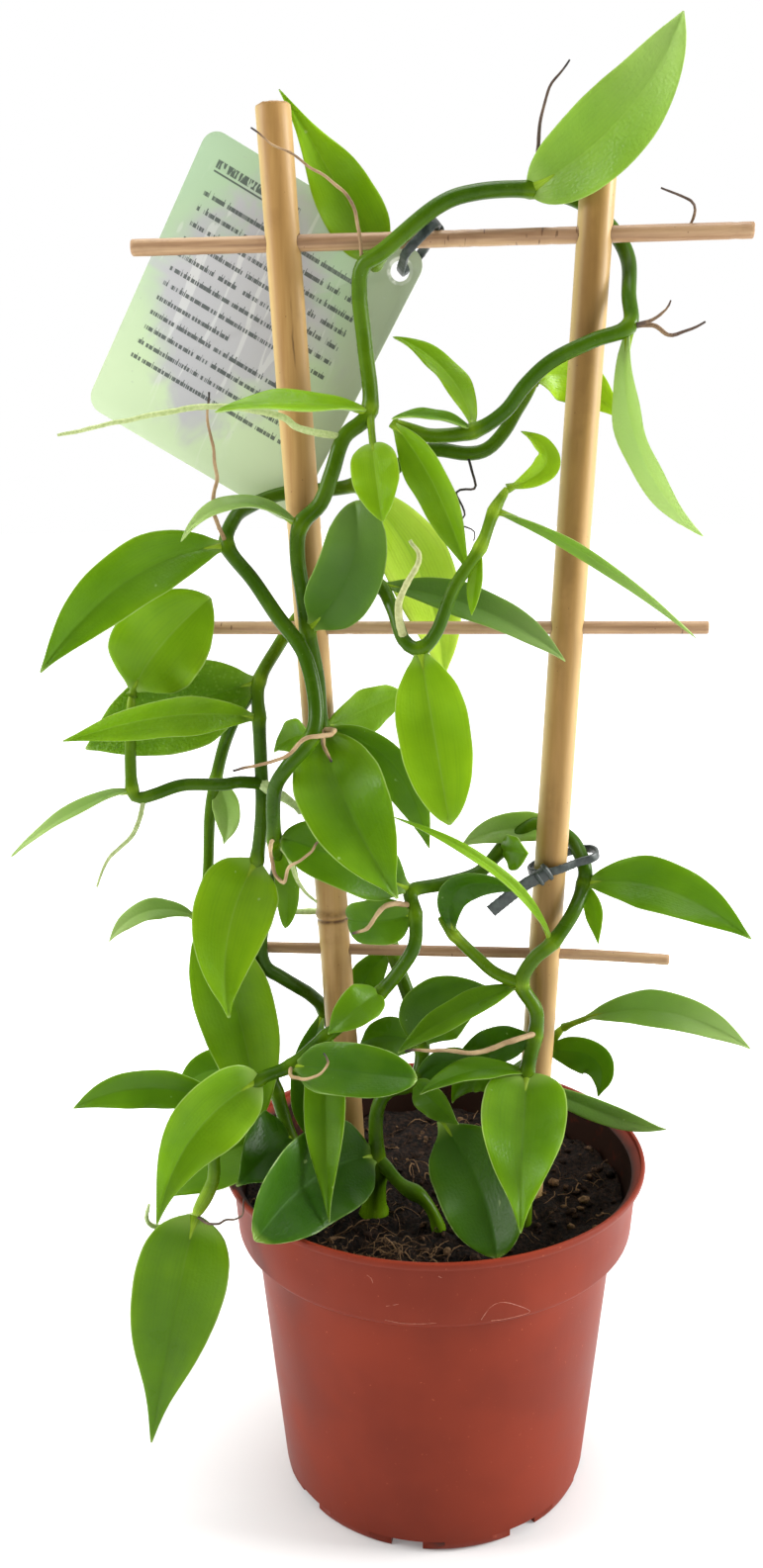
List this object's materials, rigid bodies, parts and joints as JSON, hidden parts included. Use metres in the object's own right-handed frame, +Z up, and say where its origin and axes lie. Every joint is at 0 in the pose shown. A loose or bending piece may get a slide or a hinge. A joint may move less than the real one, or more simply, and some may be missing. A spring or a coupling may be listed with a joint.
{
  "type": "potted vanilla orchid on a bamboo ladder",
  "caption": "Climbing vanilla orchid with glossy leaves and air roots, in a plastic nursery pot, tied to a bamboo ladder with a hanging card.",
  "frame": {"origin": "middle of the pot's underside, on the face it stands on", "axes": "+Z up along the plant and the ladder, -Y towards the viewer, +X to the viewer's right"},
  "size_m": [0.1922, 0.12, 0.3793],
  "materials": {
    "pot_plastic": "satin terracotta-coloured moulded plastic",
    "soil": "dark damp peat with pale fibres",
    "bamboo": "dry tan bamboo with dark streaks",
    "rung": "dry brown split stick",
    "card": "glossy coated card, pale green print",
    "tie": "dark green-black plastic",
    "foliage": "waxy green leaves and stems"
  },
  "bodies": {
    "root": {"pot": "pot_plastic", "soil": "soil", "cane_left": "bamboo", "cane_right": "bamboo", "bar_top": "rung", "bar_middle": "rung", "bar_bottom": "rung", "label_card": "card", "tie_top": "tie", "tie_right": "tie", "vine_tall": "foliage", "vine_left": "foliage", "vine_right": "foliage", "vine_low": "foliage"}
  },
  "joints": []
}
